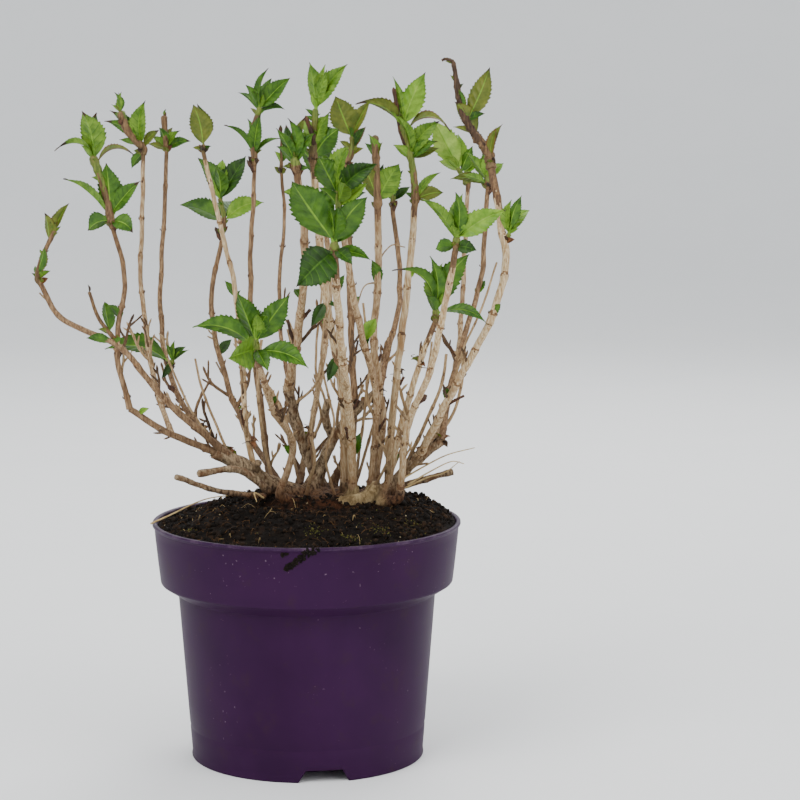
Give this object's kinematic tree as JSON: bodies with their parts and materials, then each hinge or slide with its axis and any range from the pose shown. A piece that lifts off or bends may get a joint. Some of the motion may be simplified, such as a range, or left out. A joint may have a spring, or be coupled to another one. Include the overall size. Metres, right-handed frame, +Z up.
{
  "type": "potted hydrangea shrub",
  "caption": "Young garden shrub of upright woody canes with opposite toothed leaves just unfolding, growing in compost in a round plastic nursery pot.",
  "frame": {"origin": "centre of the flat underside of the pot, on the surface it stands on", "axes": "+Z up, +X to the right and +Y away from the viewer in the front view"},
  "size_m": [0.343, 0.2755, 0.4958],
  "materials": {
    "pot": "satin deep purple, lightly scuffed at the rim",
    "soil": "dark moist peat with fibres and crumbs",
    "old_wood": "rough grey-brown bark",
    "cane": "straw-coloured bark with darker joints",
    "leaf": "fresh green, slightly glossy, with paler veins"
  },
  "bodies": {
    "root": {"pot": "pot", "soil": "soil", "woody_crown": "old_wood", "old_stem_left": "old_wood", "old_stem_middle": "old_wood", "old_stem_dark": "old_wood", "old_stem_right": "old_wood", "cut_stub": "old_wood", "cane_left_low": "cane", "cane_left_high": "cane", "cane_far_left": "cane", "cane_left_back": "cane", "cane_left_inner": "cane", "cane_mid_left": "cane", "cane_mid_left_back": "cane", "cane_low_front": "cane", "cane_thin": "cane", "cane_centre_left": "cane", "cane_centre": "cane", "cane_centre_back": "cane", "cane_front": "cane", "cane_front_right": "cane", "cane_right_centre": "cane", "cane_right_back": "cane", "cane_tall_right": "cane", "cane_right_low": "cane", "cane_right_pale": "cane", "cane_far_right_low": "cane", "cane_far_right_high": "cane", "cane_right_rear": "cane", "cane_right_far": "cane", "cane_back": "cane", "cane_back_left": "cane", "shoot_left_high": "leaf", "shoot_far_left": "leaf", "shoot_left_twin": "leaf", "shoot_left_bare_tip": "leaf", "shoot_single_leaf": "leaf", "shoot_mid_left": "leaf", "shoot_low_front": "leaf", "shoot_thin": "leaf", "shoot_centre_left": "leaf", "shoot_centre": "leaf", "shoot_round_leaf": "leaf", "shoot_front": "leaf", "shoot_front_upper": "leaf", "shoot_right_centre": "leaf", "shoot_right_back": "leaf", "shoot_tall_right": "leaf", "shoot_right_low": "leaf", "shoot_right_pale": "leaf", "shoot_dried_top": "leaf", "shoot_far_right_side": "leaf", "shoot_right_rear": "leaf", "shoot_broad_leaf": "leaf", "shoot_back": "leaf", "shoot_back_left": "leaf", "shoot_left_low": "leaf", "twig_left": "leaf"}
  },
  "joints": []
}
